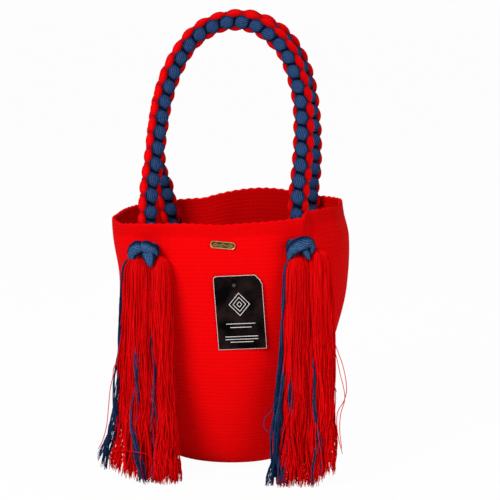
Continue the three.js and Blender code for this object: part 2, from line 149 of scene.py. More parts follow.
def curve(points, spacing):
    """Points along a smooth curve through the given ones, about evenly spaced."""
    p = np.asarray(points, float)
    p = np.vstack([2 * p[0] - p[1], p, 2 * p[-1] - p[-2]])
    knots = np.concatenate([[0], np.cumsum(np.linalg.norm(np.diff(p, axis=0), axis=1) ** 0.5)])
    out = []
    for i in range(1, len(p) - 2):
        t0, t1, t2, t3 = knots[i - 1 : i + 3]
        t = np.linspace(t1, t2, SPAN_STEPS, endpoint=False)[:, None]
        a1, a2, a3 = [mixed(t, knots[k], knots[k + 1], p[k], p[k + 1]) for k in (i - 1, i, i + 1)]
        out.append(mixed(t, t1, t2, mixed(t, t0, t2, a1, a2), mixed(t, t1, t3, a2, a3)))
    line = np.vstack([*out, p[-2:-1]])
    run = lengths(line)
    count = max(3, int(round(run[-1] / spacing)) + 1)
    at = np.linspace(0, run[-1], count)
    return np.stack([np.interp(at, run, line[:, k]) for k in range(3)], axis=-1)


def tangents(line):
    return unit(np.gradient(line, axis=0))


def carried(t, first, start=0):
    """A side direction carried along the tangents t without twist, equal to first at index start."""
    n = np.zeros_like(t)
    n[start] = unit(first - t[start] * (first @ t[start]))
    for order in (range(start + 1, len(t)), range(start - 1, -1, -1)):
        before = start
        for i in order:
            n[i] = unit(n[before] - t[i] * (n[before] @ t[i]))
            before = i
    return n


# Meshes.
def make(name, points, faces, material, body=None, slot=None, replaces=(), smooth_faces=True, **values):
    """A mesh object from points in millimetres, quads or polygons, and values given per point, with the body
    it rides on, its material slot (not used) and the CAD nodes it stands for."""
    mesh = bpy.data.meshes.new(name)
    points = np.asarray(points, float).reshape(-1, 3) * 0.001
    mesh.from_pydata(points, [], [corners for f in faces for corners in np.asarray(f).tolist()])
    mesh.validate()
    mesh.polygons.foreach_set("use_smooth", np.full(len(mesh.polygons), smooth_faces))
    for key, value in values.items():
        value = np.asarray(value, np.float32)
        vector = value.ndim > 1 and value.shape[-1] == 3
        layer = mesh.attributes.new(key, "FLOAT_VECTOR" if vector else "FLOAT", "POINT")
        layer.data.foreach_set("vector" if vector else "value", value.ravel())
    obj = bpy.data.objects.new(name, mesh)
    bpy.context.scene.collection.objects.link(obj)
    for m in [material] if isinstance(material, bpy.types.Material) else material:
        mesh.materials.append(m)
    if body:
        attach(obj, body)
    if replaces:
        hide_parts(*replaces)
    return obj


def grid(rows, columns, closed=False):
    """Quads of a grid of points, facing up where rows go up and columns go round from left to right."""
    i = np.arange(rows - 1)[:, None]
    j = np.arange(columns if closed else columns - 1)[None, :]
    k = (j + 1) % columns
    quads = [i * columns + j, i * columns + k, (i + 1) * columns + k, (i + 1) * columns + j]
    return np.stack([np.broadcast_to(q, (rows - 1, j.shape[1])) for q in quads], axis=-1).reshape(-1, 4)


def capped(rows, sides):
    """Faces of a row of rings, closed at both ends."""
    ring = np.arange(sides)[None, :]
    return [grid(rows, sides, closed=True), ring[:, ::-1], (rows - 1) * sides + ring]


def turns(count):
    """Angles evenly round a circle."""
    return np.linspace(0, 2 * math.pi, count, endpoint=False)


def lie_of(angle, along):
    """How points lie on a strand: cosine and sine of the angle round it, and length along it in metres."""
    return np.stack(np.broadcast_arrays(np.cos(angle), np.sin(angle), along * 0.001), axis=-1).reshape(-1, 3)


def tube(line, wide, deep, sides, side_way):
    """Points, faces and lie of a tube with its own half width and half depth at each place."""
    t = tangents(line)
    across = unit(np.cross(t, side_way))
    out = np.cross(across, t)
    angle = turns(sides)[None, :]
    x = (np.asarray(wide)[:, None] * np.cos(angle))[..., None]
    y = (np.asarray(deep)[:, None] * np.sin(angle))[..., None]
    rings = line[:, None, :] + across[:, None, :] * x + out[:, None, :] * y
    return rings.reshape(-1, 3), capped(len(line), sides), lie_of(angle, lengths(line)[:, None])


def domed(size, line, first, last):
    """Sizes along a line, rounded off over the given lengths at its ends."""
    run = lengths(line)
    for reach, gap in ((first, run), (last, run[-1] - run)):
        if reach:
            size = size * np.sqrt(np.maximum(0.01, 1 - (1 - np.clip(gap / reach, 0, 1)) ** 2))
    return size


def joined(parts):
    """Several (points, faces, value) sets as one."""
    points, merged, values, first = [], {}, [], 0
    for p, faces, value in parts:
        points.append(p)
        values.append(value)
        for f in faces:
            merged.setdefault(np.asarray(f).shape[1], []).append(np.asarray(f) + first)
        first += len(p)
    return np.vstack(points), [np.vstack(m) for m in merged.values()], np.concatenate(values)


# Materials.
class Graph:
    """The shader nodes of a material or of the world, with short ways to add more."""

    def __init__(self, owner):
        owner.use_nodes = True
        self.nodes, self.links = owner.node_tree.nodes, owner.node_tree.links

    def put(self, node, inputs):
        """Link other nodes' outputs to a node's inputs, or set constants on them."""
        for socket, value in inputs.items():
            if isinstance(value, bpy.types.NodeSocket):
                self.links.new(value, node.inputs[socket])
            elif value is not None:
                node.inputs[socket].default_value = value
        return node

    def add(self, kind, **inputs):
        return self.put(self.nodes.new(kind), inputs)

    def math(self, operation, *inputs):
        node = self.add("ShaderNodeMath")
        node.operation = operation
        return self.put(node, dict(enumerate(inputs))).outputs[0]

    def noise(self, scale, detail):
        place = self.add("ShaderNodeTexCoord").outputs["Object"]
        return self.add("ShaderNodeTexNoise", Scale=scale, Detail=detail, Vector=place).outputs["Fac"]

    def speckled(self, base, amount, scale, detail):
        """A value with an amount of noise added to it."""
        return self.math("MULTIPLY_ADD", self.noise(scale, detail), amount, base)

    def ramp(self, value, stops):
        node = self.add("ShaderNodeValToRGB", Fac=value)
        elements = node.color_ramp.elements
        while len(elements) < len(stops):
            elements.new(0.5)
        for element, (place, colour) in zip(elements, stops):
            element.position = place
            element.color = (*colour, 1)
        return node.outputs["Color"]

    def attribute(self, name, output):
        node = self.add("ShaderNodeAttribute")
        node.attribute_name = name
        return node.outputs[output]

    def bump(self, height, strength, distance, normal=None):
        inputs = {"Height": height, "Strength": strength, "Distance": distance, "Normal": normal}
        return self.add("ShaderNodeBump", **inputs).outputs["Normal"]


def principled(name, sockets):
    """A material with constants, or what functions of its graph give, on the sockets of its shader."""
    material = bpy.data.materials.new(name)
    g = Graph(material)
    values = {socket: value(g) if callable(value) else value for socket, value in sockets.items()}
    g.put(g.nodes["Principled BSDF"], values)
    return material


# Colours of the yarns, from painted shade in the creases up, and their sheen: weight, tint and specular
# level.
STOPS = {
    "crochet_red": [
        (0.28, (0.5, 0.0004, 0.001)), (0.46, (0.65, 0.0006, 0.0014)), (0.85, (0.75, 0.0008, 0.0018)),
    ],
    "strand_red": [(0.05, (0.3, 0.0006, 0.001)), (0.5, (0.66, 0.0009, 0.002)), (0.95, (0.82, 0.002, 0.004))],
    "strand_blue": [
        (0.15, (0.0014, 0.0036, 0.015)), (0.5, (0.0076, 0.0235, 0.073)), (0.95, (0.032, 0.074, 0.195)),
    ],
    # The knots' blue goes lighter and darker than the strands' blue: painted highlight on the yarn tops and
    # painted shade in the creases.
    "knot_blue": [(0.2, (0.0006, 0.0014, 0.009)), (0.6, (0.0085, 0.029, 0.096)), (0.95, (0.07, 0.17, 0.37))],
    # The filling under the tassel yarns is a little darker than the loose yarns: painted shade in the gaps
    # between them.
    "core_red": [
        (0.15, (0.36, 0.0004, 0.0008)), (0.55, (0.62, 0.0008, 0.0016)), (0.95, (0.78, 0.002, 0.003)),
    ],
    "core_blue": [
        (0.15, (0.001, 0.002, 0.009)), (0.55, (0.007, 0.018, 0.055)), (0.95, (0.025, 0.055, 0.14)),
    ],
    "yarn_red": [(0.05, (0.42, 0.0006, 0.001)), (0.5, (0.68, 0.001, 0.002)), (0.95, (0.86, 0.003, 0.005))],
}
STOPS["yarn_blue"] = STOPS["strand_blue"]
SHEEN = {"red": (0.01, (1, 0.3, 0.3), 0.02), "blue": (0.012, (0.35, 0.55, 1), 0.015)}
# Yarn lines half round a strand, and how they wind.
LINES, KNOT_LINES, CORE_LINES = (10, 260), (13, 170), (34, 60)


def fabric(kind, colour, value, heights):
    """Yarn cloth: colour from a value by a ramp, and bumps from (height, strength, distance) sets.
    The value and the heights are functions of the graph."""

    def normal(g):
        bumps = None
        for height, strength, distance in heights:
            bumps = g.bump(height(g), strength, distance, bumps)
        return bumps

    name = f"{kind}_{colour}"
    weight, tint, specular = SHEEN[colour]
    return principled(name, {
        "Specular IOR Level": specular,
        "Sheen Weight": weight,
        "Sheen Roughness": 0.5,
        "Sheen Tint": (*tint, 1),
        "Roughness": lambda g: g.speckled(0.8, 0.2, 600, 2),
        "Base Color": lambda g: g.ramp(value(g), STOPS[name]),
        "Normal": normal,
    })  # fmt: skip


def yarn_lines(count, twist):
    """Height of yarns laid side by side along a strand, from the strand's own angle and length."""

    def height(g):
        cosine, sine, along = g.add("ShaderNodeSeparateXYZ", Vector=g.attribute("lie", "Vector")).outputs
        turn = g.math("MULTIPLY", g.math("ARCTAN2", sine, cosine), count)
        turn = g.math("MULTIPLY_ADD", along, twist, turn)
        return g.math("ABSOLUTE", g.math("SINE", g.speckled(turn, 2.5, 180, 2)))

    return height


def fibres(scale):
    return lambda g: g.noise(scale, 4)


def relief_value(g):
    # Painted shade: the crochet is darker in the grooves between rows and between stitches.
    value = g.math("MULTIPLY_ADD", g.attribute("relief", "Fac"), 0.3, 0.32)
    return g.speckled(g.speckled(value, 0.2, 900, 3), 0.2, 22, 2)


def tint_value(g):
    return g.speckled(g.math("MULTIPLY_ADD", g.attribute("tint", "Fac"), 0.6, 0.1), 0.35, 700, 3)


def strands(kind, colour, lines, strength, distance, fibre):
    """Cloth of yarns side by side, with painted shade: darker between the yarn lines and in the folds."""
    height = yarn_lines(*lines)

    def value(g):
        # Painted shade: darker between the yarn lines, and darker still in creases, at bead ends and
        # underneath, by the fold value.
        line = g.speckled(g.math("MULTIPLY_ADD", height(g), 0.5, 0.15), 0.5, 420, 3)
        return g.math("MULTIPLY_ADD", g.attribute("fold", "Fac"), -0.6, line)

    return fabric(kind, colour, value, [(height, strength, distance), fibre])


FINE, COARSE = (fibres(900), 0.3, 0.0004), (fibres(700), 0.4, 0.0006)
wall_bumps = [(fibres(1500), 0.3, 0.0004), (fibres(420), 0.25, 0.0007)]
crochet_red = fabric("crochet", "red", relief_value, wall_bumps)
STRAND = {
    "red": strands("strand", "red", LINES, 0.5, 0.0008, FINE),
    "blue": strands("strand", "blue", LINES, 0.6, 0.0009, FINE),
}
knot_blue = strands("knot", "blue", KNOT_LINES, 0.7, 0.0012, FINE)
CORE = {colour: strands("core", colour, CORE_LINES, 0.8, 0.0012, COARSE) for colour in SHEEN}
LOOSE_YARN = {colour: fabric("yarn", colour, tint_value, [(fibres(1100), 0.4, 0.0004)]) for colour in SHEEN}


def metal(name, stops, roughness):
    return principled(name, {
        "Metallic": 1.0,
        "Base Color": lambda g: g.ramp(g.noise(260, 5), stops),
        "Roughness": lambda g: g.speckled(roughness, 0.3, 900, 4),
        "Normal": lambda g: g.bump(g.noise(1600, 4), 0.25, 0.0002),
    })  # fmt: skip


def paper(name, stops, roughness, scale, specular=0.3):
    return principled(name, {
        "Specular IOR Level": specular,
        "Base Color": lambda g: g.ramp(g.noise(scale, 3), stops),
        "Roughness": lambda g: g.speckled(roughness, 0.15, 1200, 3),
        "Normal": lambda g: g.bump(g.noise(2500, 3), 0.12, 0.0001),
    })  # fmt: skip


brass_edge = metal("brass_edge", [(0.3, (0.2, 0.12, 0.035)), (0.7, (0.52, 0.36, 0.15))], 0.3)
brass_field = metal("brass_field", [(0.3, (0.03, 0.018, 0.006)), (0.75, (0.13, 0.08, 0.026))], 0.45)
black_stops = [(0.42, (0.0015, 0.0013, 0.0013)), (0.75, (0.022, 0.012, 0.012))]
card_black = paper("card_black", black_stops, 0.6, 38, 0.01)
card_white = paper("card_white", [(0.3, (0.62, 0.58, 0.56)), (0.7, (0.8, 0.77, 0.75))], 0.7, 300)
card_print = paper("card_print", [(0.3, (0.5, 0.48, 0.46)), (0.7, (0.74, 0.71, 0.69))], 0.6, 200)
pin_plastic = paper("pin_plastic", [(0.3, (0.02, 0.02, 0.02)), (0.7, (0.05, 0.05, 0.05))], 0.25, 400)


# Stage.
CAMERA_AZIMUTH, CAMERA_ELEVATION = math.radians(6.5), math.radians(9.5)
CAMERA_DISTANCE = 1.85
FRAME_WIDTH = 0.5425  # what the image takes in at the bag's axis
AIM_RIGHT, AIM_UP = 0.0222, 0.2229
SENSOR = 36  # width of the camera's sensor, in millimetres
FLOOR = 15000  # half the side of the floor, in millimetres
FLOOR_GLOW = 0.97  # share of plain white in the floor as it is seen; the rest takes the shadow
SKY_SEEN, SKY_LIGHT = 0.76, 0.22  # what is added where the sky itself is seen, and what it lights with
# Lamps: name, place, target, size, power and colour.
LAMPS = [
    ("key", (-0.95, -1.5, 1.25), (0, 0, 0.2), 0.9, 34, (1, 0.985, 0.96)),
    ("fill", (1.3, -1.2, 0.7), (0, 0, 0.2), 1.2, 12, (0.97, 0.985, 1)),
    ("top", (0.1, 0.5, 1.7), (0, 0, 0.25), 1.1, 5, (1, 1, 1)),
]


def seen_straight(g):
    """1 where the eye sees a surface itself, in a reflection or through something, else 0."""
    ray = g.add("ShaderNodeLightPath").outputs
    seen = g.math("ADD", ray["Is Camera Ray"], ray["Is Glossy Ray"])
    return g.math("MINIMUM", g.math("ADD", seen, ray["Is Transmission Ray"]), 1.0)


def placed(name, data, place, way):
    """A camera or lamp at a place, looking along a direction."""
    obj = bpy.data.objects.new(name, data)
    obj.location = place
    obj.rotation_euler = way.to_track_quat("-Z", "Y").to_euler()
    bpy.context.scene.collection.objects.link(obj)
    return obj


def build_stage():
    a, e = CAMERA_AZIMUTH, CAMERA_ELEVATION
    right = Vector((math.cos(a), math.sin(a), 0))
    back = Vector((math.sin(a) * math.cos(e), -math.cos(a) * math.cos(e), math.sin(e)))
    aim = right * AIM_RIGHT + Vector((0, 0, AIM_UP / math.cos(e)))
    camera = bpy.data.cameras.new("camera")
    camera.sensor_width = SENSOR
    camera.lens = SENSOR * CAMERA_DISTANCE / FRAME_WIDTH
    bpy.context.scene.camera = placed("camera", camera, aim + back * CAMERA_DISTANCE, -back)

    for name, place, target, size, power, colour in LAMPS:
        light = bpy.data.lights.new(name, "AREA")
        light.shape = "SQUARE"
        light.size = size
        light.energy = power
        light.color = colour
        placed(name, light, place, Vector(target) - Vector(place))

    world = bpy.data.worlds.new("studio")
    bpy.context.scene.world = world
    g = Graph(world)
    strength = g.math("MULTIPLY_ADD", seen_straight(g), SKY_SEEN, SKY_LIGHT)
    g.put(g.nodes["Background"], {"Color": (1, 1, 1, 1), "Strength": strength})

    # A plain floor that goes on past what is seen.
    material = principled("floor_white", {"Base Color": (0.9, 0.9, 0.9, 1), "Roughness": 0.95})
    g = Graph(material)
    mix = g.add("ShaderNodeMixShader", Fac=g.math("MULTIPLY", seen_straight(g), FLOOR_GLOW))
    g.put(mix, {1: g.nodes["Principled BSDF"].outputs[0], 2: g.add("ShaderNodeEmission").outputs[0]})
    g.put(g.nodes["Material Output"], {"Surface": mix.outputs[0]})
    points = [(x * FLOOR, y * FLOOR, 0) for y in (-1, 1) for x in (-1, 1)]
    make("floor", points, [grid(2, 2)], material)


build_stage()


# The wall of the CAD part, for what hangs on it.
def wall_shares(share):
    """Size and squareness of the wall's round at a share of the height."""
    return [np.interp(share, WALL_SHAPE[:, 0], WALL_SHAPE[:, k]) for k in (1, 2)]


def lift(x, y, share):
    back = np.maximum(y, 0) / RIM_HALF_DEPTH
    aside = (x / RIM_HALF_WIDTH - 0.16) / 0.5
    dome = BACK_SWELL * back**2 * np.maximum(1 - aside**2, 0)
    return RIM_TILT * x * share**2 / RIM_HALF_WIDTH + dome * share**4


def wall_point(angle, share, inward=0.0):
    size, square = wall_shares(share)
    c, s = math.cos(angle), math.sin(angle)
    x = (RIM_HALF_WIDTH * size - inward) * math.copysign(abs(c) ** (2 / square), c)
    y = (RIM_HALF_DEPTH * size - inward) * math.copysign(abs(s) ** (2 / square), s)
    return np.array([x, y, BAG_HEIGHT * share + lift(x, y, share)])


def wall_out(angle, share):
    d = wall_point(angle + 0.01, share) - wall_point(angle - 0.01, share)
    n = unit(np.array([d[1], -d[0], 0.0]))
    return n if n[:2] @ wall_point(angle, share)[:2] > 0 else -n


def angle_at(x, share, side):
    size, square = wall_shares(share)
    c = math.copysign(abs(x / (RIM_HALF_WIDTH * size)) ** (square / 2), x)
    return side * math.acos(min(max(c, -1.0), 1.0))


def leg_point(angle, share):
    return wall_point(angle, share, WALL) - wall_out(angle, share) * (BRAID / 2 + 4 * CLEAR)


def leg_x(hand):
    return HANDLE_SHIFT + hand * LEG_OFFSET


def last_inside(near, far, inside):
    """The furthest place between near and far that is inside."""
    for _ in range(HALVINGS):
        middle = (near + far) / 2
        near, far = (middle, far) if inside(middle) else (near, middle)
    return near


def leg_angle(side, hand):
    def inside(x):
        return abs(leg_point(angle_at(hand * x, 1, side), 1)[0]) < abs(leg_x(hand))

    return angle_at(hand * last_inside(0.3 * LEG_OFFSET, 0.98 * RIM_HALF_WIDTH, inside), 1, side)


def wall_depth(x, share):
    return abs(wall_point(angle_at(x, share, -1), share)[1])


def eyelet(side_name, hand_name):
    """Elbow of the leg inside, where it comes out of the wall, and the directions out and across there."""
    side, (hand, turn, _) = SIDES[side_name], HANDS[hand_name]
    turned = math.radians(turn)
    out = np.array([hand * math.sin(turned), side * math.cos(turned), 0])
    elbow = leg_point(leg_angle(side, hand), EYELET_SHARE)

    def inside(reach):
        p = elbow + out * reach
        return abs(p[1]) < wall_depth(p[0], EYELET_SHARE)

    face = elbow + out * last_inside(0.0, RIM_HALF_DEPTH, inside)
    return elbow, face, out, np.array([-out[1], out[0], 0])


def knot_middle(side_name, hand_name):
    """Middle of a knot, far enough out for the tassel under it to hang clear of the wall."""
    _, face, out, across = eyelet(side_name, hand_name)
    hand, _, aside = HANDS[hand_name]
    shift = -SIDES[side_name] * hand * aside
    shoulder = EYELET_SHARE - KNOT_HEIGHT * 0.41 / BAG_HEIGHT - 0.05
    reach = KNOT_THICK / 2 + CLEAR
    for k in range(-8, 9):
        p = face + across * (k / 16 * TASSEL_WIDTH + shift)
        rear = TASSEL_THICK * 0.52 * min(1, 1.8 - 2.6 * abs(k / 16))
        gap = (wall_depth(p[0], shoulder) - abs(p[1])) / abs(out[1])
        reach = max(reach, gap + rear + CLEAR)
    return face + out * reach


def wall_frame(x, drop, turn):
    """Place on the front wall and the three directions across, up and out there."""
    share = 1 - drop / BAG_HEIGHT
    angle = angle_at(x, share, -1)
    up = unit(wall_point(angle, share + 0.02) - wall_point(angle, share - 0.02))
    right = unit(np.cross(up, wall_out(angle, share)))
    out = unit(np.cross(right, up))
    t = math.radians(turn)
    u = right * math.cos(t) + up * math.sin(t)
    return wall_point(angle, share), u, np.cross(out, u), out


# Bag wall.
ROW = 4.07  # height of one crochet row
ROW_STEPS = 5  # mesh steps in a row
STITCHES = 174  # stitches in a round
STITCH_STEPS = 2
RELIEF = 0.28  # how far a row stands out of the groove under it
RIM_BAND = 12.0  # smoother band under the rim
EDGE_DROP = 1.6  # how far under the rim the wall ends and its looped edge starts
EDGE_RISE, LOOP_RISE = 0.36 * WALL, 1.1  # height of the edge, and of the loops on it
EDGE_STEPS = 8
INNER_STEPS, BASE_STEPS = 2, 3  # mesh steps in a row inside, and in a round of the base
INNER_RELIEF = 0.5
SAG = 10.0  # how much lower a row runs in the middle of the front and back than at the ends
WALL_SAMPLES, WALL_LEVELS, ROUND_SAMPLES = 4000, 420, 1441
COLUMNS = STITCHES * STITCH_STEPS
MEAN_RADIUS = (RIM_HALF_WIDTH + RIM_HALF_DEPTH) / 2
wall_size = monotone(WALL_SHAPE[:, 0], WALL_SHAPE[:, 1])
wall_square = monotone(WALL_SHAPE[:, 0], WALL_SHAPE[:, 2])
# How much the soft rim of the front stands above the part's even one, from left to right.
RIM_RISE = monotone(
    [-125, -117, -107, -90, -76, -55, -33, -10, 4, 30, 65, 85, 95, 125],
    [3, 1, -0.6, 1, 1.2, 1.8, 1.5, 0, -1, 0, 1, 2, 6.5, 6],
)


def wall_levels():
    """Shares of the height at even steps along the wall's own slope, and the length up to each."""
    share = np.linspace(0, 1, WALL_SAMPLES)
    run = np.hypot(np.diff(wall_size(share)) * MEAN_RADIUS, np.diff(share) * BAG_HEIGHT)
    run = np.concatenate([[0], np.cumsum(run)])
    at = np.linspace(0, run[-1], WALL_LEVELS)
    return np.interp(at, run, share), at


def wall_dents(x, y, z):
    """How far the soft wall stands out (or in) of its plain shape."""
    # In at the front's right corner, with a fold beside it, and along the right end of the rim.
    d = -8.0 * smooth(x, 88, 99) * smooth(-y, 35, 70) * smooth(z, 222, 276)
    d += 1.6 * bell(x - 87, 6) * smooth(-y, 40, 70) * smooth(z, 215, 262)
    d -= 4.0 * smooth(x, 98, 118) * smooth(z, 240, 275) * smooth(60 - np.abs(y), 0, 25)
    # In at the left end and out at the right end.
    d -= 7.5 * bell(z - 212, 36) * smooth(-x, 85, 118)
    d += 5.5 * bell(z - 178, 48) * smooth(x, 80, 108)
    # Slow waves all over, and a hollow at each eyelet.
    d += 0.9 * np.sin(x / 31 + 1.3) * np.sin(z / 47 + 0.4) * smooth(z, 20, 80)
    d += 0.7 * np.sin(y / 26 + 0.6) * np.sin(z / 38 + 2.0) * smooth(z, 20, 80)
    for hand in (-1, 1):
        d -= 1.6 * bell(np.hypot(x - leg_x(hand) - 4 * hand, z - 246), 17) * (np.abs(y) > 55)
    return d


def plain_wall():
    """Points of the wall without its stitches: levels up, columns round from the left end by the front."""
    shares, at = wall_levels()
    psi = np.linspace(math.pi, 3 * math.pi, ROUND_SAMPLES)
    c, s = np.abs(np.cos(psi)), np.abs(np.sin(psi))
    out = np.zeros((len(shares), COLUMNS, 3))
    for i, share in enumerate(shares):
        size, n = wall_size(share), wall_square(share)
        r = ((c / (RIM_HALF_WIDTH * size)) ** n + (s / (RIM_HALF_DEPTH * size)) ** n) ** (-1 / n)
        line = np.stack([r * np.cos(psi), r * np.sin(psi)], axis=-1)
        run = lengths(line)
        place = np.linspace(0, run[-1], COLUMNS, endpoint=False)
        x, y = np.interp(place, run, line[:, 0]), np.interp(place, run, line[:, 1])
        rise = RIM_RISE(x) * smooth(-y, 5, 60) + 1.5 * bell(x - 22, 45) * smooth(y, 30, 90)
        z = BAG_HEIGHT * share + lift(x, y, share) + rise * smooth(share, 0.8, 1)
        out[i] = np.stack([x, y, z], axis=-1)
    round_way = np.gradient(out, axis=1)
    level = unit(np.stack([round_way[..., 1], -round_way[..., 0], 0 * round_way[..., 2]], axis=-1))
    out += level * wall_dents(out[..., 0], out[..., 1], out[..., 2])[..., None]
    return out, at


def grid_normals(p):
    """Outward directions of a grid that is closed round its columns."""
    up = np.gradient(p, axis=0)
    wrapped = np.concatenate([p[:, -1:], p, p[:, :1]], axis=1)
    return unit(np.cross(np.gradient(wrapped, axis=1)[:, 1:-1], up))


def sag(place, length):
    """How far the row at a length up the wall sags."""
    return SAG * smooth(place, 8, 70) * (1 - smooth(place, 0.42 * length, 0.93 * length))


def stitch_wave(row, share, column):
    """0 to 1 across the stitches of a round; each round is set over by half a stitch."""
    return 0.5 + 0.5 * np.cos(2 * math.pi * (column / STITCH_STEPS + 0.5 * row + 0.4 * share))


def ridge_of(index, steps):
    """0 in the groove between two rows, 1 on the row."""
    return np.sqrt(np.maximum(0, 1 - (2 * (index % steps) / steps - 1) ** 2))


def raised(ridge, stitch):
    """Height of the stitches of a row, and their relief shade: painted shade, darker in the grooves."""
    return ridge * (0.7 + 0.3 * stitch), ridge * (0.45 + 0.55 * stitch)


def crochet_points(plain, at, place):
    """Plain wall points at the given lengths up the wall, with the rows sagging."""
    q = np.abs(np.sin(2 * math.pi * np.arange(COLUMNS) / COLUMNS)) ** 1.4
    want = place[:, None] - sag(place, at[-1])[:, None] * q[None, :]
    out = np.zeros((len(place), COLUMNS, 3))
    for j in range(COLUMNS):
        for axis in range(3):
            out[:, j, axis] = np.interp(want[:, j], at, plain[:, j, axis])
    return out


def build_bag():
    plain, at = plain_wall()
    top = at[-1] - EDGE_DROP
    rows = int(round(top / ROW))
    count = rows * ROW_STEPS + 1
    place = np.linspace(0, top, count)
    p = crochet_points(plain, at, place)
    normal = grid_normals(p)
    index = np.arange(count)[:, None]
    across = np.arange(COLUMNS)[None, :]
    stitch = stitch_wave(index // ROW_STEPS, (index % ROW_STEPS) / ROW_STEPS, across)
    height, relief = raised(ridge_of(index, ROW_STEPS), stitch)
    # The band under the rim is flatter, and painted shade makes it darker.
    band = smooth(place, top - RIM_BAND, top - RIM_BAND + 2)[:, None]
    outer = p + normal * ((height - 1) * RELIEF * (1 - 0.62 * band))[..., None]
    relief = relief + (-0.5 - relief) * band * 0.8

    # The edge rolls over the top in one round of small loops.
    loops = 0.5 + 0.5 * np.cos(math.pi * np.arange(COLUMNS) / STITCH_STEPS)
    level = unit(normal[-1] * np.array([1, 1, 0]))
    roll, roll_relief = [], []
    for t in np.linspace(0, math.pi, EDGE_STEPS + 1)[1:]:
        rise = math.sin(t) * (EDGE_RISE + LOOP_RISE * loops)
        roll.append(p[-1] - level * (1 - math.cos(t)) * WALL / 2 + np.array([0, 0, 1]) * rise[:, None])
        # Painted shade between the loops of the edge.
        roll_relief.append(0.3 + 0.6 * loops * math.sin(t))
    outer = np.concatenate([outer, np.array(roll)])
    relief = np.concatenate([relief, np.array(roll_relief)])
    whole = grid_normals(outer)

    half = COLUMNS // 2
    for name, columns in [
        ("bag_wall_front", np.arange(0, half + 1)),
        ("bag_wall_back", np.arange(half, COLUMNS + 1) % COLUMNS),
    ]:
        part, values = outer[:, columns], relief[:, columns].ravel()
        faces = [grid(*part.shape[:2])]
        piece = make(name, part, faces, crochet_red, "bag", "red_crochet", ["bag_body"], relief=values)
        piece.data.normals_split_custom_set_from_vertices(whole[:, columns].reshape(-1, 3))

    # Inner face, with the same rows seen from their other side.
    count = rows * INNER_STEPS + 1
    p = crochet_points(plain, at, np.linspace(top, 0, count))
    normal = grid_normals(p[::-1])[::-1]
    ridge, stitch = ridge_of(np.arange(count), INNER_STEPS)[:, None], stitch_wave(0, 0, across)
    height, _ = raised(ridge, stitch)
    inner = p - normal * (WALL - INNER_RELIEF + INNER_RELIEF * height)[..., None]
    inner[0] = outer[-1]
    # Painted shade: the inside is darker all over, and darker in its grooves.
    values = (ridge * (0.4 + 0.4 * stitch)).ravel() - 0.75
    faces = [grid(count, COLUMNS, closed=True)]
    make("bag_inside", inner, faces, crochet_red, "bag", "red_crochet", relief=values)

    # Base, worked in rounds from the middle, outside and inside.
    rounds = int(round(wall_size(0) * MEAN_RADIUS / ROW))
    count = rounds * BASE_STEPS + 1
    index = np.arange(count)[:, None]
    height, relief = raised(ridge_of(index, BASE_STEPS), stitch_wave(index // BASE_STEPS, 0, across))
    for name, floor_height, sign, edge in [
        ("bag_base", 0.0, 1, outer[0]),
        ("bag_base_inside", WALL, -1, inner[-1]),
    ]:
        disc = edge[None] * np.linspace(0.02, 1, count)[:, None, None]
        disc[..., 2] = floor_height + sign * (1 - height) * RELIEF
        disc[-1] = edge
        cap = np.arange(COLUMNS)[None, ::sign]
        faces = [grid(count, COLUMNS, closed=True)[:, ::-sign], cap[:, ::-1]]
        make(name, disc, faces, crochet_red, "bag", "red_crochet", relief=relief.ravel())


build_bag()

# Handles. Strands: name, colour, phase and sense of winding.
STRANDS = [
    ("red_1", "red", 0.0, 1),
    ("red_2", "red", math.pi, 1),
    ("blue_1", "blue", 0.0, -1),
    ("blue_2", "blue", math.pi, -1),
]
BEAD_REACH = 0.58  # length each way of what shows of a strand between two crossings, in shares of their pitch
BEAD_SIDES, BEAD_RINGS = 16, 15
BRAID_CORE = 5.2  # radius of what crosses inside the braid
COLUMN = 6.9  # middle of a strand from the middle of the braid, where it passes over
# Beads by colour: half width from -1 to 1 along a bead, and how far its ends dip inwards and slant aside.
BEADS = {
    "red": (lambda q: 7.0 * (1 - 0.74 * q**2), 2.5, 2.0),
    "blue": (lambda q: 7.3 / (1 + (q / 0.57) ** 4), 3.3, 4.5),
}
BEAD_DEPTH = 4.1  # half depth in the middle of a bead
END_SIZE, END_GROWS = 0.62, (4, 26)  # share of its size at the braid's ends, and from where to where it grows
CORE_STEP = 4  # points of the middle line to a ring of the core
LINE_STEP, KNOT_STEP, STRAY_STEP = 0.8, 0.9, 0.5  # from point to point of a handle, a knot and a stray yarn
BACK_LEG_OUT = 10  # how much further out the left leg of the back handle stands where it comes over the rim
# How far the blue column is turned to the inner side of the arch, in degrees, from its left end to its right.
COLUMN_TURN = {
    "front": ([0, 0.3, 0.5, 0.65, 1], [33, 32, 28, 17, 3]),
    "back": ([0, 0.35, 0.5, 0.65, 1], [30, 22, 0, -15, -25]),
}


def painted_shade_at(lie, ends, edge=0.7, under=-0.1):
    """Painted shade of a strand, by how deep in a crease each point is: at its ends, along its edges and
    underneath.
    """
    edges = np.maximum(smooth(np.abs(lie[:, 0]), edge, 1) * 0.7, smooth(-lie[:, 1], under, 0.3))
    return np.maximum(ends, edges)


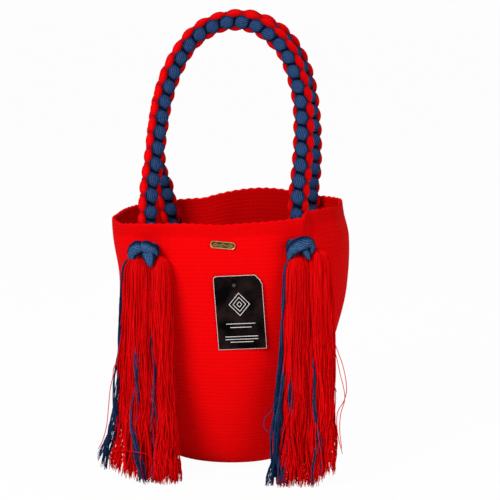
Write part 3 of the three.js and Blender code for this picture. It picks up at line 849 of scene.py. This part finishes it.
def handle_line(side_name):
    """Middle line of a handle from eyelet to eyelet over the arch, and where its arch starts and ends."""
    side = SIDES[side_name]
    ends = []
    for hand_name, (hand, _, _) in HANDS.items():
        elbow, face, out, _ = eyelet(side_name, hand_name)
        head = np.array([leg_x(hand), side * SWING_DEPTH, SWING_HEIGHT])
        low = [face + out * 3, face - out * 5 + [0, 0, 1], elbow + out * 4 + [0, 0, 5]]
        ends.append([*low, elbow * 0.55 + head * 0.45])
    arch = []
    for u, v in ARCHES[side_name]:
        up = v * ARCH_HEIGHT
        y = side * (SWING_DEPTH - math.sin(ARCH_LEAN) * up)
        arch.append([HANDLE_SHIFT + u * LEG_OFFSET, y, SWING_HEIGHT + math.cos(ARCH_LEAN) * up])
    line = curve([*ends[0], *arch, *ends[1][::-1]], LINE_STEP)
    if side_name == "back":
        line[:, 0] -= BACK_LEG_OUT * bell(line[:, 2] - 292, 34) * smooth(-line[:, 0], 20, 60)
    first, last = [int(np.argmin(np.linalg.norm(line - p, axis=1))) for p in (arch[0], arch[-1])]
    return line, first, last


def build_handle(side_name):
    side = SIDES[side_name]
    line, first, last = handle_line(side_name)
    t = tangents(line)
    face_way = np.array([0, -math.cos(ARCH_LEAN), -side * math.sin(ARCH_LEAN)])
    n = carried(t, face_way, (first + last) // 2)
    outer = np.cross(n, t)
    run = lengths(line)
    at, length = run - run[first], run[last] - run[first]
    turn = 2 * math.pi * round(length / LAY) * at / length
    column = np.radians(np.interp(at / length, *COLUMN_TURN[side_name]))[:, None]
    slim = END_SIZE + (1 - END_SIZE) * smooth(np.minimum(run, run[-1] - run), *END_GROWS)
    red_way = outer * np.cos(column) + n * np.sin(column)
    blue_way = n * np.cos(column) - outer * np.sin(column)
    for name, colour, phase, hand in STRANDS:
        # A strand shows as a row of long beads, by turns on opposite sides, and crosses inside between them.
        main, aside = (red_way, blue_way) if colour == "red" else (blue_way, red_way)
        width, dip, slant = BEADS[colour]
        tau = hand * turn + phase - (0 if colour == "red" else math.pi / 2)
        reach = BEAD_REACH * math.pi / abs(tau[-1] - tau[0]) * run[-1]
        parts, ends = [], []
        for k in range(math.ceil(tau.min() / math.pi), math.floor(tau.max() / math.pi) + 1):
            middle = np.interp(k * math.pi * hand, tau * hand, run)
            place = np.linspace(max(middle - reach, 0), min(middle + reach, run[-1]), BEAD_RINGS)
            q = ((place - middle) / reach)[:, None]
            at_line, way, side_way, size = [
                np.stack([np.interp(place, run, v) for v in values.T], axis=-1)
                for values in (line, main, aside, slim[:, None])
            ]
            sign = math.cos(k * math.pi)
            way = unit(way) * sign
            centre = at_line + way * (COLUMN - dip * q**2) * size
            centre -= unit(side_way) * (hand * slant * sign * q) * size
            wide, deep = width(q) * size, BEAD_DEPTH * np.sqrt(1 - 0.8 * q**2) * size
            parts.append(tube(centre, wide[:, 0], deep[:, 0], BEAD_SIDES, way))
            # Painted shade at each end of the bead, where it passes under its neighbours.
            ends.append(np.repeat(smooth(np.abs(q), 0.35, 0.9), BEAD_SIDES))
        if name == "blue_1":
            size = BRAID_CORE * slim[::CORE_STEP]
            parts.append(tube(line[::CORE_STEP], size, size, BEAD_SIDES, n[::CORE_STEP]))
            # Painted shade all over the core that crosses inside the braid.
            ends.append(np.ones(len(size) * BEAD_SIDES))
        points, faces, lie = joined(parts)
        fold = painted_shade_at(lie, np.concatenate(ends))
        piece = make(f"{side_name}_braid_{name}", points, faces, STRAND[colour], lie=lie, fold=fold)
        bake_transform(piece)
        stands_for = [f"{side_name}_handle_{name}"]
        if name == "red_1":
            stands_for += [f"{side_name}_left_neck", f"{side_name}_right_neck"]
        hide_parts(*stands_for)


for side_name in SIDES:
    build_handle(side_name)

# Knots as seen from outside, at the left and at the right end. Strands: places across, out and up from the
# knot's middle, half widths, their share that is the half depth, and lengths over which the ends are rounded.
BEHIND = [
    ([(s * x, y, z) for x, y, z in [(6, -9, 3), (9, -4, 2), (9.5, -2, -3), (8, -1, -7), (4, -1, -9)]],
     [4.6, 5.2, 5.2, 4.8, 4], 0.9, 2, 3)
    for s in (1, -1)
]  # fmt: skip
BEHIND.append(([(0, -19, 0), (0, -10, 0), (0, -2, 0)], [8, 8.4, 8], 1, 0, 4))
KNOTS = {
    "left": [
        ([(-13.5, 1, -9.5), (-11.3, 5, -0.5), (-6.5, 7, 4.2), (-0.5, 7.2, 5)],
         [3, 6.2, 7.2, 5.5], 0.9, 3, 3),
        ([(-4.5, 5, 6.5), (2.5, 6.5, 4.6), (8.2, 5, 1.5), (11.5, 1, -5)], [4.5, 7, 6.6, 4], 0.9, 4, 4),
        ([(2.5, 4, 1), (5.5, 7.4, -4.5), (6.8, 8.6, -10), (7.4, 8, -15.8)], [6.5, 7, 5, 1.6], 0.7, 0, 3),
    ],
    "right": [
        ([(-12, 1, -14), (-9.8, 5, -4.5), (-4.8, 6.8, 1.2), (1.5, 7, 4.4), (7, 5.5, 5.2), (10, 2.5, 3.5)],
         [2, 4.8, 7.2, 7.5, 6.6, 4.5], 0.9, 3, 4),
        ([(3, 4, -1), (6, 7, -5.5), (9, 7.6, -12.5)], [4.6, 4.2, 1], 0.75, 0, 2),
        ([(9.2, 3, 9.5), (11.4, 5, 4.5), (11.6, 4.6, -1.5), (9, 3, -7)], [2.6, 3.4, 3.4, 2.4], 0.9, 3, 3),
    ],
}  # fmt: skip
# How each knot stands off the part's even one, across and up, and how its tassel differs from its look:
# share of the width, and across at the top and at the tips.
HANGS = {
    ("front", "left"): ((2.5, 3.0), (1, 0, 0)),
    ("front", "right"): ((0.0, 2.5), (1, 0, 0)),
    ("back", "left"): ((0, 2), (0.8, -3, -6)),
    ("back", "right"): ((0, 2), (0.68, 3, 12)),
}
OTHER = {"left": "right", "right": "left"}
UP = np.array([0, 0, 1.0])
KNOT_SIDES = 28


def knot_frame(side_name, hand_name):
    """Middle of a knot, directions across and out, and the look it has from outside, left or right."""
    _, _, out, across = eyelet(side_name, hand_name)
    (aside, up), _ = HANGS[side_name, hand_name]
    look = hand_name if side_name == "front" else OTHER[hand_name]
    return knot_middle(side_name, hand_name) + across * aside + UP * up, across, out, look


def build_knot(side_name, hand_name):
    middle, across, out, look = knot_frame(side_name, hand_name)
    parts = []
    for places, wide, depth, first, last in BEHIND + KNOTS[look]:
        line = curve([middle + across * u + out * n + UP * v for u, n, v in places], KNOT_STEP)
        run = lengths(np.array(places))
        size = domed(monotone(run / run[-1], wide)(np.linspace(0, 1, len(line))), line, first, last)
        side_way = carried(tangents(line), out + 0.01 * UP, len(line) // 2)
        parts.append(tube(line, size, size * depth, KNOT_SIDES, side_way))
    points, faces, lie = joined(parts)
    # Painted shade in the knot's creases, along its edges and underneath.
    name, fold = f"{side_name}_{hand_name}_knot", painted_shade_at(lie, 0, 0.4, -0.5)
    make(name + "_yarn", points, faces, knot_blue, "bag", "blue_yarn", [name], lie=lie, fold=fold)


# Tassels as seen from outside. Locks of each bundle: yarns, root across and up from the knot's middle, and
# rows of share of the length, left edge, right edge, middle outwards and half depth.
# TIPS: height of the ends across it. RED_ROWS: what the rows of all red locks share apart from their edges.
TIPS = {
    "left": ([-46, -20, 0, 40], [20, 5, 0, 0]),
    "right": ([-35, 0, 15, 24, 31, 44], [0, 0, 4, 11, 17, 25]),
}
RED_ROWS = [(0.1, 0, 8.8), (0.35, 0, 9), (0.65, 1, 9.4), (0.88, 4, 10), (1, 8, 9)]


def red_rows(edges):
    return [(share, *edge, stand, half) for (share, stand, half), edge in zip(RED_ROWS, edges)]


TASSELS = {
    "left": {
        "blue_1": [(36, (-13, -6), [
            (0.1, -24.3, -22.3, 1, 2), (0.35, -27.3, -25.5, 1, 2), (0.5, -29.5, -26.5, 2, 3),
            (0.68, -33, -27, 3, 4), (0.88, -40, -33, 5, 5), (1, -47, -37, 8, 6),
        ])],
        "red_1": [(230, (-5, -4), red_rows([(-21.5, 6), (-25, 6.3), (-28.5, 7.5), (-34, 11), (-40, 14)]))],
        "blue_2": [(16, (2, -6), [
            (0.1, -2, 3, -3, 3), (0.3, -6, -2, 2, 2), (0.42, -10, -6.5, 8.2, 1), (0.55, -11, -7, 9.2, 1),
            (0.75, -13, -8.5, 12.2, 1.2), (0.9, -9, -4, 14.5, 1.6), (1, -7, 2, 17, 3),
        ]), (4, (6, -9), [
            (0.1, 4, 7, -2, 3), (0.35, 7, 9, 3, 2), (0.45, 9.5, 11, 8.6, 0.6), (0.75, 9, 11, 10.5, 0.8),
            (1, 6, 14, 14, 2.5),
        ])],
        "red_2": [(200, (15, -4), red_rows([(7, 27), (6.8, 28), (6.5, 30), (5, 35), (4, 40)]))],
    },
    "right": {
        "blue_1": [(60, (-11, -12), [
            (0.1, -17.3, -15.5, 1, 2), (0.35, -19.3, -17, 1, 2), (0.5, -21.5, -17, 2, 4),
            (0.68, -26, -17, 3, 5.5), (0.88, -30, -17, 5, 6), (1, -34, -14, 8, 7),
        ])],
        "red_1": [(215, (-1, -6), red_rows([(-14.5, 9), (-16, 10), (-18.5, 11), (-22, 14), (-26, 16)]))],
        "blue_2": [(14, (9, -6), [
            (0.1, 6, 9, -3, 3), (0.45, 10, 13, 3, 2.5), (0.6, 14, 17, 9.2, 1), (0.8, 15, 18.5, 11.5, 1.2),
            (1, 13, 22, 16, 2.5),
        ]), (8, (0, -8), [
            (0.1, -5, -1, -2, 3), (0.45, -8, -5, 3, 2.5), (0.6, -10.5, -9, 9.2, 0.7),
            (0.8, -12, -10, 11.5, 0.9), (1, -15, -9, 16, 2),
        ])],
        "red_2": [(215, (16, -1), red_rows([(9.5, 32), (10, 34), (10, 35.5), (8, 37), (7, 40)]))],
    },
}  # fmt: skip
# Single yarns that have come loose, in front: places across, down from the knot's middle, and out.
STRAYS = {
    ("left", "red_1"): [
        [
            (-27, 112, 8), (-32, 122, 9), (-33, 131, 9), (-36, 144, 9), (-38, 165, 10), (-40, 184, 12),
            (-45, 201, 13), (-49, 208, 13),
        ],
        [(-34, 208, 16), (-20, 207, 19), (-5, 207.5, 21), (5, 210, 21), (13, 218, 19)],
    ],
    ("right", "red_2"): [
        [
            (28, 80, 8), (39, 108, 7), (45, 126, 6), (48, 149, 6), (45, 160, 7), (39, 170, 8), (38, 183, 9),
            (40, 199, 11), (44, 214, 13),
        ],
        [
            (30, 90, 8), (37, 112, 9), (41, 130, 8), (45, 146, 8), (46, 158, 8), (42, 172, 9), (41, 190, 11),
            (43, 208, 13),
        ],
    ],
    ("right", "blue_1"): [
        [(-20, 150, 8), (-30, 169, 9), (-36, 176, 10), (-37, 185, 10), (-32, 191, 11), (-24, 196, 11)],
    ],
}  # fmt: skip
YARN = 0.55  # radius of a tassel yarn
YARN_STEPS = 30
YARN_SIDES = 3
CORE_END = 0.96  # share of the length that is filled under the yarns
CORE_SIDES, CORE_ROWS = 36, 24
CORE_FROM = 40  # yarns from which a lock has a filling
WISP = 8  # yarns that hang together in a lock
TASSEL_DROP = 240  # from a knot's middle to the floor


def yarn_mesh(lines, side_way):
    """Points and faces of many round yarns at once."""
    lines = np.asarray(lines)
    count, steps = lines.shape[:2]
    t = unit(np.gradient(lines, axis=1))
    a = unit(np.cross(t, side_way))
    b = np.cross(a, t)
    size = np.full(steps, YARN)
    size[-1] *= 0.55
    angle = turns(YARN_SIDES)
    ring = a[:, :, None] * np.cos(angle)[:, None] + b[:, :, None] * np.sin(angle)[:, None]
    points = lines[:, :, None] + ring * size[None, :, None, None]
    quads = grid(steps, YARN_SIDES, closed=True)
    caps = np.stack([np.arange(YARN_SIDES)[::-1], (steps - 1) * YARN_SIDES + np.arange(YARN_SIDES)])
    first = (np.arange(count) * steps * YARN_SIDES)[:, None, None]
    faces = [(quads[None] + first).reshape(-1, 4), (caps[None] + first).reshape(-1, YARN_SIDES)]
    return points.reshape(-1, 3), faces


def lock_shape(rows, t):
    """Middle across, half width, middle outwards, half depth and dome at the top of a lock, by its length."""
    rows = np.array(rows)
    low, high, stand, half = [monotone(rows[:, 0], rows[:, k])(t) for k in (1, 2, 3, 4)]
    dome = np.sqrt(1 - (1 - np.clip(t / 0.1, 0, 1)) ** 2)
    return (low + high) / 2, (high - low) / 2, stand * (0.35 + 0.65 * dome), half, dome


def lock_place(u, n, z, t, frame_of, hang):
    """Points of a tassel from places across, out and up, hung as the given tassel hangs."""
    middle, across, out, _ = frame_of
    u = u * hang[0] + hang[1] + (hang[2] - hang[1]) * t
    points = middle + across * u[..., None] + out * n[..., None]
    points[..., 2] = z
    return points


def lock_lines(count, root, rows, tips, frame_of, hang):
    """Yarns of one lock: gathered at its root, domed over the shoulder, then hanging in growing waves."""
    t = np.linspace(0, 1, YARN_STEPS) ** 1.1
    middle, wide, stand, half, dome = lock_shape(rows, t)
    loose, pull = smooth(t, 0.2, 1), smooth(t, 0.45, 1)
    # How far the waves of a wisp swing across and out, and those of each yarn.
    swing = np.array([[0.8], [1.0]]) * smooth(t, 0.05, 0.25) + np.array([[2.0], [1.8]]) * loose
    own_swing = 0.1 + 0.25 * smooth(t, 0.02, 0.25) + 0.6 * loose
    wisps = max(3, count // WISP)
    wisp_size, wisp_tip = rng.uniform(0.3, 1.1, wisps), rng.uniform(-5, 6, wisps)
    phase, rate = rng.uniform(0, 2 * math.pi, (wisps, 2)), rng.uniform(1.4, 3.0, (wisps, 2))
    wisp_tint = rng.uniform(0, 1, wisps)
    lines, tints = [], []
    for i in range(count):
        rank = (i + rng.uniform(0, 1)) / count
        k = min(int(rank * wisps), wisps - 1)
        angle = 2 * math.pi * (rank + ((k + 0.5) / wisps - rank) * 0.45 * pull) + rng.uniform(-0.4, 0.4) * t
        size = rng.uniform(0.82, 1.1)
        size = size + (wisp_size[k] - size) * 0.7 * pull
        own, speed = rng.uniform(0, 2 * math.pi, 2), rng.uniform(3, 7, 2)
        wave = swing * np.sin(phase[k][:, None] + 2 * math.pi * rate[k][:, None] * t)
        wave = wave + own_swing * np.sin(own[:, None] + 2 * math.pi * speed[:, None] * t)
        u = root[0] + (middle + wide * np.cos(angle) * size - root[0]) * dome + wave[0]
        n = stand + half * np.sin(angle) * size * dome + wave[1]
        bottom = np.interp(u[-1], *tips) + wisp_tip[k] + rng.uniform(-3, 5)
        start = frame_of[0][2] + root[1]
        z = start + (max(bottom, YARN + 0.5) - start) * t
        lines.append(lock_place(u, n, z, t, frame_of, hang))
        tints.append(0.55 * wisp_tint[k] + 0.45 * rng.uniform(0, 1))
    return lines, tints


def lock_core(root, rows, tips, frame_of, hang):
    """Points, faces and lie of the filling of a lock under its yarns, which ends above the tips."""
    t = np.linspace(0, CORE_END, CORE_ROWS)[:, None]
    middle, wide, stand, half, dome = lock_shape(rows, t)
    angle = turns(CORE_SIDES)[None, :]
    size = 0.9 * np.maximum(dome, 0.02) * (1 - 0.6 * smooth(t, 0.7, CORE_END))
    lobes = np.sin(7 * angle + 5 * t + rng.uniform(0, 6)) + np.sin(13 * angle - 9 * t + rng.uniform(0, 6))
    size = size * (1 + 0.035 * lobes * smooth(t, 0.02, 0.3))
    u = root[0] + (middle - root[0]) * dome + wide * np.cos(angle) * size
    n = stand + half * np.sin(angle) * size
    start = frame_of[0][2] + root[1]
    bottom = np.interp(middle[-1, 0], *tips)
    z = np.broadcast_to(start + (bottom - start) * t, u.shape)
    points = lock_place(u, n, z, t, frame_of, hang)
    return points.reshape(-1, 3), capped(CORE_ROWS, CORE_SIDES), lie_of(angle, (start - bottom) * t)


def stray_line(places, frame_of, hang):
    """One loose yarn through the given places."""
    u, down, n = np.array(places, float).T
    z = np.maximum(frame_of[0][2] - down, YARN + 0.4)
    line = curve(lock_place(u, n, z, down / TASSEL_DROP, frame_of, hang), STRAY_STEP)
    return line[np.linspace(0, len(line) - 1, YARN_STEPS).round().astype(int)]


def build_tassel(side_name, hand_name):
    frame_of, (_, hang) = knot_frame(side_name, hand_name), HANGS[side_name, hand_name]
    _, _, out, look = frame_of
    for bundle, locks in TASSELS[look].items():
        lines, tints, cores = [], [], []
        for count, root, rows in locks:
            more, shades = lock_lines(count, root, rows, TIPS[look], frame_of, hang)
            lines, tints = lines + more, tints + shades
            if count > CORE_FROM:
                cores.append(lock_core(root, rows, TIPS[look], frame_of, hang))
        strays = [stray_line(places, frame_of, hang) for places in STRAYS.get((look, bundle), [])]
        lines, tints = lines + strays, tints + [0.5] * len(strays)
        points, faces = yarn_mesh(lines, out)
        tint = np.repeat(tints, YARN_STEPS * YARN_SIDES)
        colour = bundle.split("_")[0]
        name, slot = f"{side_name}_{hand_name}_tassel_{bundle}", colour + "_yarn"
        make(name + "_yarn", points, faces, LOOSE_YARN[colour], "bag", slot, [name], tint=tint)
        if cores:
            points, faces, lie = joined(cores)
            make(name + "_core", points, faces, CORE[colour], "bag", slot, lie=lie, fold=0 * lie[:, 0])


for side_name in SIDES:
    for hand_name in HANDS:
        build_knot(side_name, hand_name)
        build_tassel(side_name, hand_name)


# Label plate and card.
def rounded(width, height, corner, count=10):
    """Outline of a rectangle with round corners, as points round it."""
    out = []
    for cx, cy, start in [(1, -1, -90), (1, 1, 0), (-1, 1, 90), (-1, -1, 180)]:
        middle = np.array([cx * (width / 2 - corner), cy * (height / 2 - corner)])
        for a in np.radians(np.linspace(start, start + 90, count)):
            out.append(middle + corner * np.array([math.cos(a), math.sin(a)]))
    return np.array(out)


def in_frame(frame_of, uvw):
    face, u, v, w = frame_of
    uvw = np.asarray(uvw, float)
    return face + uvw[:, :1] * u + uvw[:, 1:2] * v + uvw[:, 2:3] * w


def stack(outlines):
    """Closed body from (outline, height) sets with the same number of points."""
    n = len(outlines[0][0])
    points = np.vstack([np.column_stack([o, np.full(n, h)]) for o, h in outlines])
    return points, capped(len(outlines), n)


def box_at(u, v, low, high, width, height):
    outline = np.array([[-1, -1], [1, -1], [1, 1], [-1, 1]]) * [width / 2, height / 2] + [u, v]
    return stack([(outline, low), (outline, high)])


def ring_at(u, v, size, band, low, high):
    """A rhombus frame: its half sizes, the width of its band, and its two heights."""
    corners = np.array([[1, 0], [0, 1], [-1, 0], [0, -1]])
    outer, inner = corners * size + [u, v], corners * (np.array(size) - band) + [u, v]
    points, _ = stack([(outer, low), (outer, high), (inner, high), (inner, low)])
    return points, [grid(4, 4, closed=True)]


def solids(parts):
    """Several (points, faces) bodies as one."""
    points, faces, _ = joined([(p, f, np.zeros(len(p))) for p, f in parts])
    return points, faces


# Profile of the plate's rim from its foot: how far inside the outline, and how far below the top.
PLATE_RIM = [
    (0.35, PLATE_THICK), (0, PLATE_THICK - 0.3), (0, 0.35), (0.2, 0), (0.45, 0), (0.7, 0.5), (1, 0.6),
]  # fmt: skip
PLATE_TRIM, PLATE_CORNER = 1.1, 3.7  # what the plate is narrower by than its CAD solid, and its corner radius
PRONG_THICK, PRONG_WIDTH, PRONG_FOLD, PRONG_SHARE = 1.2, 2.4, 4.4, 0.3
RHOMBUS, RHOMBUS_BAND, RHOMBUS_STEP, DOT = (2.8, 1.8), 0.7, 7.5, 1.1  # the row on the plate's field
CARD_SWAY = 3.5  # how far the card is turned about its pin, in degrees
PIN_X, PIN_DROP = -0.08 * CARD_WIDTH, 10  # place of the pin from the card's middle line and from its top
PRINT_UP, PRINT_RHOMBI = 9, (11, 7, 3)  # middle of the card's rhombi, and their half widths
RULE, PRINT_RULES = 0.7, [(-12, 30), (-16, 22), (-26, 34), (-29, 34), (-32, 24)]  # thickness; place, length


def fitted(name, frame_of, body, material, slot, replaces=(), smooth_faces=False):
    """A piece from a body's points and faces, placed on the wall."""
    points, faces = body
    return make(name, in_frame(frame_of, points), faces, material, "bag", slot, replaces, smooth_faces)


def build_plate():
    frame_of = wall_frame(PLATE_X, PLATE_DROP, PLATE_TURN)
    low, high = CLEAR, CLEAR + PLATE_THICK
    plate = stack([
        (rounded(PLATE_LENGTH - 2 * d, PLATE_WIDTH - PLATE_TRIM - 2 * d, PLATE_CORNER - d), high - drop)
        for d, drop in PLATE_RIM
    ])  # fmt: skip
    metals = [brass_edge, brass_field]
    piece = fitted("label_plate_metal", frame_of, plate, metals, "antique_brass", ["label_plate"], True)
    piece.data.polygons[len(piece.data.polygons) - 1].material_index = 1

    # A row of plain rhombi stands on the field, and two prongs are folded over inside the wall.
    field = high - 0.7
    parts = [ring_at(k * RHOMBUS_STEP, 0, RHOMBUS, RHOMBUS_BAND, field, field + 0.5) for k in (-1, 0, 1)]
    parts += [box_at(k * RHOMBUS_STEP, 0, field, field + 0.45, DOT, DOT) for k in (-0.5, 0.5)]
    inside = -WALL - 2 * CLEAR
    for hand in (-1, 1):
        foot = hand * PLATE_LENGTH * PRONG_SHARE
        parts.append(box_at(foot, 0, inside - PRONG_THICK, low + 0.2, PRONG_THICK, PRONG_WIDTH))
        fold = foot - hand * (PRONG_FOLD - PRONG_THICK) / 2
        parts.append(box_at(fold, 0, inside - PRONG_THICK, inside, PRONG_FOLD, PRONG_WIDTH))
    fitted("label_plate_relief", frame_of, solids(parts), brass_edge, "antique_brass")


def build_card():
    a, b = CARD_WIDTH / 2, CARD_HEIGHT / 2
    # The card hangs a little turned about its pin.
    pin = np.array([[PIN_X, b - PIN_DROP, 0]])
    frame_of = wall_frame(CARD_X, CARD_DROP, CARD_TURN + CARD_SWAY)
    shift = in_frame(wall_frame(CARD_X, CARD_DROP, CARD_TURN), pin) - in_frame(frame_of, pin)
    frame_of = (frame_of[0] + shift[0], *frame_of[1:])
    corner = [[a, b - 10], [a - 2.2, b - 5.2], [a - 7, b]]
    outline = np.array([[-a, -b], [a, -b], *corner, [-a + 3, b], [-a + 0.9, b - 0.9], [-a, b - 3]])
    low = 1.5 * CLEAR
    high = low + CARD_THICK
    card, looks = stack([(outline, low), (outline, high)]), [card_black, card_white]
    piece = fitted("hang_tag_card", frame_of, card, looks, "black_card", ["hang_tag"])
    for polygon in piece.data.polygons:
        polygon.material_index = 1 if len(polygon.vertices) == 4 else 0

    # Bare print: a thin line round the edge, rhombi and a few rules.
    edge, inner = [outline * (1 - inset / np.array([a, b])) for inset in (0.02, 0.38)]
    under, over, rule = high + 0.02, high + 0.06, high + 0.05
    line = stack([(edge, under), (edge, rule), (inner, rule), (inner, under)])
    parts = [(line[0], [line[1][0]])]
    parts += [ring_at(0, PRINT_UP, (size, size * 1.15), 0.9, under, over) for size in PRINT_RHOMBI]
    parts += [box_at(0, v, under, over, width, RULE) for v, width in PRINT_RULES]
    fitted("hang_tag_print", frame_of, solids(parts), card_print, "black_card")
    pin_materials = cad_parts["tag_pin"].data.materials
    pin_materials.clear()
    pin_materials.append(pin_plastic)


build_plate()
build_card()

bpy.context.scene.view_settings.view_transform = "Standard"
